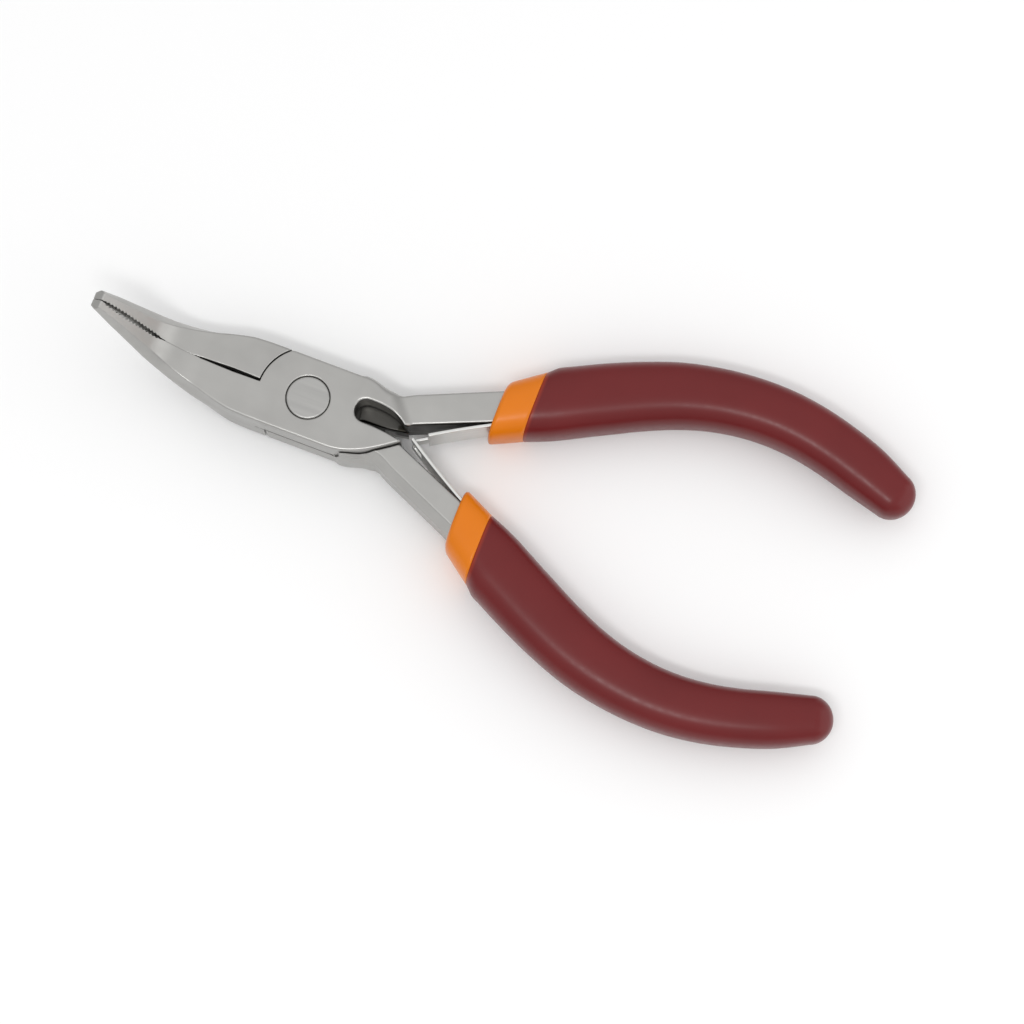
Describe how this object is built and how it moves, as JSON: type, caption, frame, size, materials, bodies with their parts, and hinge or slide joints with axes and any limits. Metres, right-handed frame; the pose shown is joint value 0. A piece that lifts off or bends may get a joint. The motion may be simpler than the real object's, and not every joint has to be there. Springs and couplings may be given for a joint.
{
  "type": "needle nose pliers",
  "caption": "Small bent nose needle nose pliers with a lap joint, double leaf springs and handles dipped in orange and maroon PVC.",
  "frame": {"origin": "on the pivot axis, at the ground back face of the joint", "axes": "+Z along the pivot axis to the front face, +X towards the ends of the handles, so the jaws point to -X; the nose bends towards +Z"},
  "size_m": [0.1235, 0.0558, 0.0228],
  "materials": {
    "steel": "ground and satin polished forged steel",
    "rivet_steel": "ground flush",
    "spring_steel": "bright rolled strip",
    "first_dip": "glossy soft PVC, orange",
    "second_dip": "glossy soft PVC, maroon"
  },
  "bodies": {
    "front": {"front_half": "steel", "pivot_rivet": "rivet_steel", "upper_leaf_spring": "spring_steel", "upper_spring_rivet": "spring_steel", "upper_first_dip": "first_dip", "upper_grip": "second_dip"},
    "rear": {"rear_half": "steel", "lower_leaf_spring": "spring_steel", "lower_spring_rivet": "spring_steel", "lower_first_dip": "first_dip", "lower_grip": "second_dip"}
  },
  "joints": [
    {"name": "jaw_pivot", "type": "hinge", "parent": "front", "child": "rear", "pos_m": [0, 0, 0.0043], "axis": [0, 0, -1], "range_deg": [0, 26], "stiffness_Nm_per_rad": 0.25, "springref_deg": 34.38, "deforming": ["upper_leaf_spring", "lower_leaf_spring"]}
  ]
}
